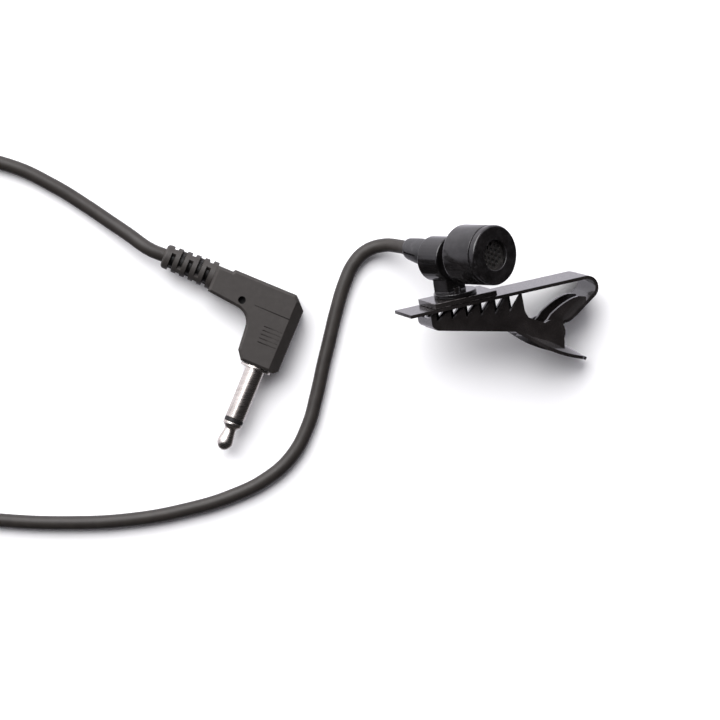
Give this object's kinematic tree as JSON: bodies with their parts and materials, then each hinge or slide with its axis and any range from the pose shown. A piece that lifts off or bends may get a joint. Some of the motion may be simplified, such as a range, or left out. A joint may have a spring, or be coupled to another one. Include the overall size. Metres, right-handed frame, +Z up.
{
  "type": "lavalier microphone",
  "caption": "Clip-on lavalier microphone: round electret head in a swivelling toothed spring clip, on a thin cord that ends in a right-angle 3.5 mm plug.",
  "frame": {"origin": "on the table, under the middle of the box round the microphone and clip as they lie", "axes": "+Z up from the table; +X from the plug side towards the microphone side; +Y across, from the clip towards the microphone head; the cord and plug lie on the -X side"},
  "size_m": [0.1515, 0.0688, 0.0266],
  "materials": {
    "front_cap": "polished black",
    "grille_disc": "pressed steel disc",
    "dust_felt": "felt",
    "barrel": "polished black",
    "capsule_can": "drawn can",
    "capsule_membrane": "metallised film on a ring",
    "capsule_backplate": "plain",
    "capsule_board": "circuit board",
    "capsule_gasket": "matt",
    "solder_signal": "solder",
    "solder_shield": "solder",
    "cord_ferrule": "crimped",
    "cord_boot": "satin black",
    "cord_end_mic": "matt",
    "wire_signal": "insulated wire",
    "wire_shield": "bare copper",
    "holder_ring": "polished black",
    "swivel_rivet": "headed rivet",
    "saddle": "black nickel",
    "spring_strip": "black nickel",
    "lower_jaw": "black nickel",
    "plug_housing": "moulded",
    "plug_strain_relief": "moulded",
    "cord_end_plug": "matt",
    "plug_washer": "nickel",
    "plug_sleeve": "nickel",
    "plug_insulator": "plain",
    "plug_tip": "nickel",
    "plug_bushing": "plain",
    "plug_tip_lug": "plain",
    "plug_sleeve_lug": "plain",
    "plug_signal_wire": "insulated wire",
    "plug_shield_wire": "bare copper",
    "cord_mic_run": "matt",
    "cord_plug_run": "matt",
    "cord_coil": "matt",
    "coil_tie": "woven strap"
  },
  "bodies": {
    "microphone": {"front_cap": "front_cap", "grille_disc": "grille_disc", "dust_felt": "dust_felt", "barrel": "barrel", "capsule_can": "capsule_can", "capsule_membrane": "capsule_membrane", "capsule_backplate": "capsule_backplate", "capsule_board": "capsule_board", "capsule_gasket": "capsule_gasket", "solder_signal": "solder_signal", "solder_shield": "solder_shield", "cord_ferrule": "cord_ferrule", "cord_boot": "cord_boot", "cord_end_mic": "cord_end_mic", "wire_signal": "wire_signal", "wire_shield": "wire_shield", "cord_mic_run": "cord_mic_run", "cord_coil": "cord_coil", "cord_plug_run": "cord_plug_run", "coil_tie": "coil_tie", "plug_housing": "plug_housing", "plug_strain_relief": "plug_strain_relief", "plug_washer": "plug_washer", "plug_sleeve": "plug_sleeve", "plug_insulator": "plug_insulator", "plug_tip": "plug_tip", "plug_bushing": "plug_bushing", "plug_tip_lug": "plug_tip_lug", "plug_sleeve_lug": "plug_sleeve_lug", "plug_signal_wire": "plug_signal_wire", "plug_shield_wire": "plug_shield_wire", "cord_end_plug": "cord_end_plug"},
    "holder": {"holder_ring": "holder_ring", "swivel_rivet": "swivel_rivet"},
    "clip_arm": {"saddle": "saddle", "spring_strip": "spring_strip"},
    "clip_jaw": {"lower_jaw": "lower_jaw"}
  },
  "joints": [
    {"name": "holder_turn", "type": "hinge", "parent": "microphone", "child": "holder", "pos_m": [-0.00869, 0.00691, 0.01436], "axis": [0.6623, -0.0463, 0.7478], "range_deg": [-150, 0]},
    {"name": "clip_swivel", "type": "hinge", "parent": "holder", "child": "clip_arm", "pos_m": [-0.00736, -0.00142, 0.01267], "axis": [-0.154, 0.9684, 0.1963], "range_deg": [-180, 0]},
    {"name": "jaw_open", "type": "hinge", "parent": "clip_arm", "child": "clip_jaw", "pos_m": [0.00897, -0.00568, 0.00573], "axis": [-0.3588, 0.1304, -0.9243], "range_deg": [-28, 0], "stiffness_Nm_per_rad": 0.06, "springref_deg": 11.46}
  ]
}
